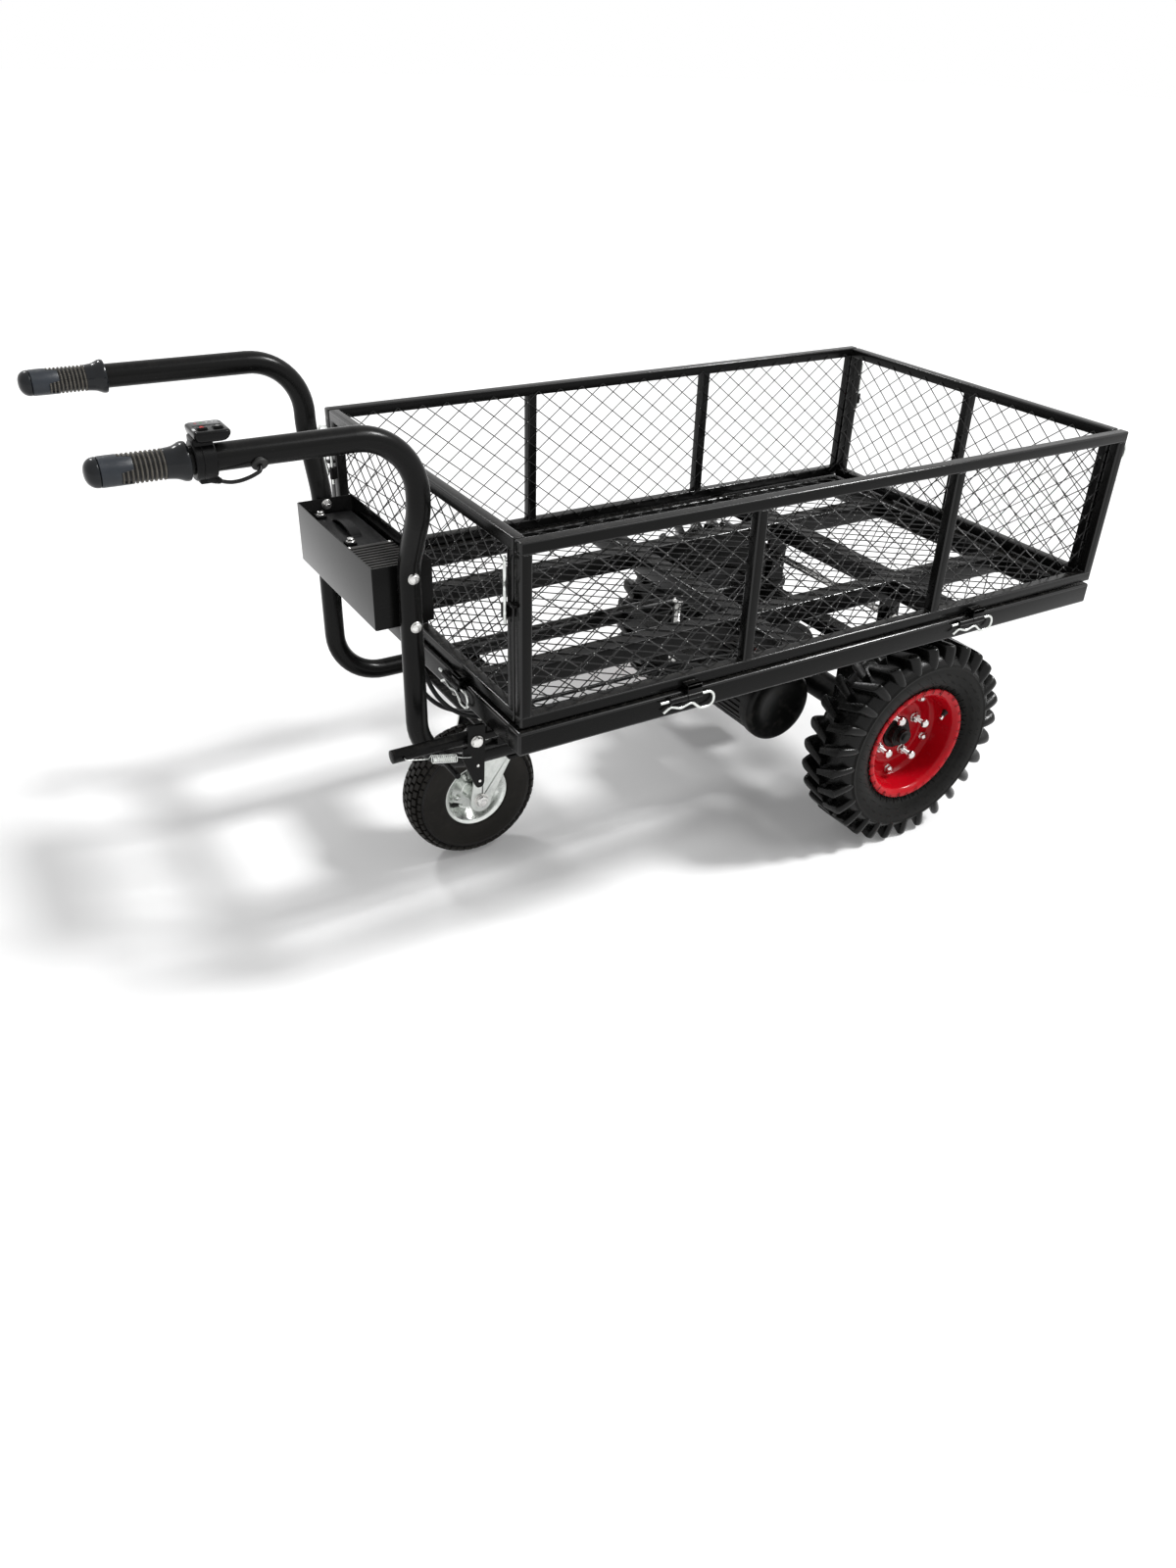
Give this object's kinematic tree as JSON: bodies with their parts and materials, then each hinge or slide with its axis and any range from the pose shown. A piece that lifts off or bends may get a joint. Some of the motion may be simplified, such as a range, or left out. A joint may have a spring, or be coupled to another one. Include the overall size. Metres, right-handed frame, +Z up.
{
  "type": "electric wheelbarrow",
  "caption": "Three-wheeled electric cart with a tipping mesh bed, fold-down mesh panels, bent tube handles, lugged drive wheels, swivel caster and geared motor.",
  "frame": {"origin": "on the ground under the middle of the whole cart", "axes": "+X the way the cart is pushed, +Y to the operator's left, +Z up"},
  "size_m": [1.8354, 0.815, 0.951],
  "materials": {
    "black_paint": "gloss powder coat",
    "mesh_paint": "satin powder coat",
    "grip_rubber": "matt moulded",
    "control_plastic": "moulded grain",
    "cable_sheath": "extruded",
    "red_plastic": "gloss",
    "grey_plastic": "satin",
    "battery_case": "moulded grain",
    "controller_alloy": "extruded, fine lines",
    "bright_steel": "bright zinc plate",
    "zinc": "pale zinc plate",
    "drive_black": "semi-gloss enamel",
    "gear_steel": "machined",
    "tyre_rubber": "matt",
    "red_paint": "gloss enamel"
  },
  "bodies": {
    "chassis": {"handle_tube_right": "black_paint", "handle_tube_left": "black_paint", "grip_left": "grip_rubber", "control_clamp": "control_plastic", "control_head": "control_plastic", "control_lead": "cable_sheath", "cable_grommet": "grip_rubber", "battery_box": "black_paint", "battery_pack": "battery_case", "motor_controller": "controller_alloy", "power_cables": "cable_sheath", "frame_bolts": "bright_steel", "underframe_brackets": "black_paint", "bed_rest_pads": "grip_rubber", "stop_bolt": "bright_steel", "bed_pivot_pin": "bright_steel", "latch_catch_pin": "black_paint", "caster_mount_plate": "black_paint", "caster_top_plate": "zinc", "axle_brackets": "black_paint", "axle_housing": "drive_black", "gear_case_cover": "drive_black", "axle_bearings": "bright_steel", "motor_body": "drive_black", "motor_end_cap": "drive_black"},
    "throttle": {"throttle_grip": "grip_rubber"},
    "power_button": {"power_button": "red_plastic"},
    "mode_button": {"mode_button": "grey_plastic"},
    "bed": {"bed_frame": "black_paint", "floor_mesh": "mesh_paint", "handle_end_panel_frame": "black_paint", "handle_end_panel_mesh": "mesh_paint", "bed_clips": "bright_steel", "lift_bar": "black_paint", "latch_bolt": "bright_steel", "latch_spring": "zinc"},
    "side_panel_right": {"side_panel_right_frame": "black_paint", "side_panel_right_mesh": "mesh_paint"},
    "side_panel_left": {"side_panel_left_frame": "black_paint", "side_panel_left_mesh": "mesh_paint"},
    "tail_panel": {"tail_panel_frame": "black_paint", "tail_panel_mesh": "mesh_paint", "tail_corner_clips": "bright_steel"},
    "latch": {"latch_lever": "black_paint"},
    "drive_wheel_right": {"drive_tyre_right": "tyre_rubber", "drive_rim_right": "red_paint", "half_shaft_right": "drive_black", "wheel_nuts_right": "bright_steel"},
    "drive_wheel_left": {"drive_tyre_left": "tyre_rubber", "drive_rim_left": "red_paint", "half_shaft_left": "drive_black", "wheel_nuts_left": "bright_steel"},
    "caster_swivel": {"caster_fork": "zinc", "caster_axle_bolt": "bright_steel"},
    "caster_wheel": {"caster_rim": "zinc", "caster_tyre": "tyre_rubber"},
    "differential": {"differential_carrier": "gear_steel"},
    "idler": {"idler_gear": "gear_steel"},
    "rotor": {"motor_rotor": "gear_steel"}
  },
  "joints": [
    {"name": "bed_tip", "type": "hinge", "parent": "chassis", "child": "bed", "pos_m": [0.56326, 0, 0.395], "axis": [0, 1, 0], "range_deg": [0, 45]},
    {"name": "side_panel_right_fold", "type": "hinge", "parent": "bed", "child": "side_panel_right", "pos_m": [0, -0.4015, 0.472], "axis": [1, 0, 0], "range_deg": [0, 150]},
    {"name": "side_panel_left_fold", "type": "hinge", "parent": "bed", "child": "side_panel_left", "pos_m": [0, 0.4015, 0.472], "axis": [-1, 0, 0], "range_deg": [0, 150]},
    {"name": "tail_panel_fold", "type": "hinge", "parent": "bed", "child": "tail_panel", "pos_m": [0.89476, 0, 0.472], "axis": [0, 1, 0], "range_deg": [0, 150]},
    {"name": "latch_turn", "type": "hinge", "parent": "bed", "child": "latch", "pos_m": [-0.42074, -0.2855, 0.419], "axis": [0, -1, 0], "range_deg": [0, 25], "stiffness_Nm_per_rad": 2, "springref_deg": -5.73, "deforming": ["latch_spring"]},
    {"name": "drive_wheel_right_spin", "type": "hinge", "parent": "chassis", "child": "drive_wheel_right", "pos_m": [0.48826, -0.345, 0.213], "axis": [0, 1, 0], "continuous": true},
    {"name": "drive_wheel_left_spin", "type": "hinge", "parent": "chassis", "child": "drive_wheel_left", "pos_m": [0.48826, 0.345, 0.213], "axis": [0, 1, 0], "continuous": true},
    {"name": "caster_turn", "type": "hinge", "parent": "chassis", "child": "caster_swivel", "pos_m": [-0.25174, 0, 0.288], "axis": [0, 0, 1], "continuous": true},
    {"name": "caster_wheel_spin", "type": "hinge", "parent": "caster_swivel", "child": "caster_wheel", "pos_m": [-0.30174, 0, 0.134], "axis": [0, 1, 0], "continuous": true},
    {"name": "throttle_twist", "type": "hinge", "parent": "chassis", "child": "throttle", "pos_m": [-0.85174, -0.238, 0.907], "axis": [-1, 0, 0], "range_deg": [0, 70], "stiffness_Nm_per_rad": 0.4},
    {"name": "power_button_press", "type": "slide", "parent": "chassis", "child": "power_button", "axis": [0, 0, -1], "range_m": [0, 0.0015], "stiffness_N_per_m": 600},
    {"name": "mode_button_press", "type": "slide", "parent": "chassis", "child": "mode_button", "axis": [0, 0, -1], "range_m": [0, 0.0015], "stiffness_N_per_m": 600},
    {"name": "differential_spin", "type": "hinge", "parent": "chassis", "child": "differential", "pos_m": [0.48826, 0.05, 0.213], "axis": [0, 1, 0], "continuous": true},
    {"name": "idler_spin", "type": "hinge", "parent": "chassis", "child": "idler", "pos_m": [0.38357, 0.05, 0.22106], "axis": [0, 1, 0], "continuous": true},
    {"name": "rotor_spin", "type": "hinge", "parent": "chassis", "child": "rotor", "pos_m": [0.33122, 0.05, 0.22508], "axis": [0, 1, 0], "continuous": true}
  ],
  "couplings": [
    {"joint": "idler_spin", "follows": "differential_spin", "ratio": -2.5},
    {"joint": "rotor_spin", "follows": "differential_spin", "ratio": 3.3333}
  ]
}
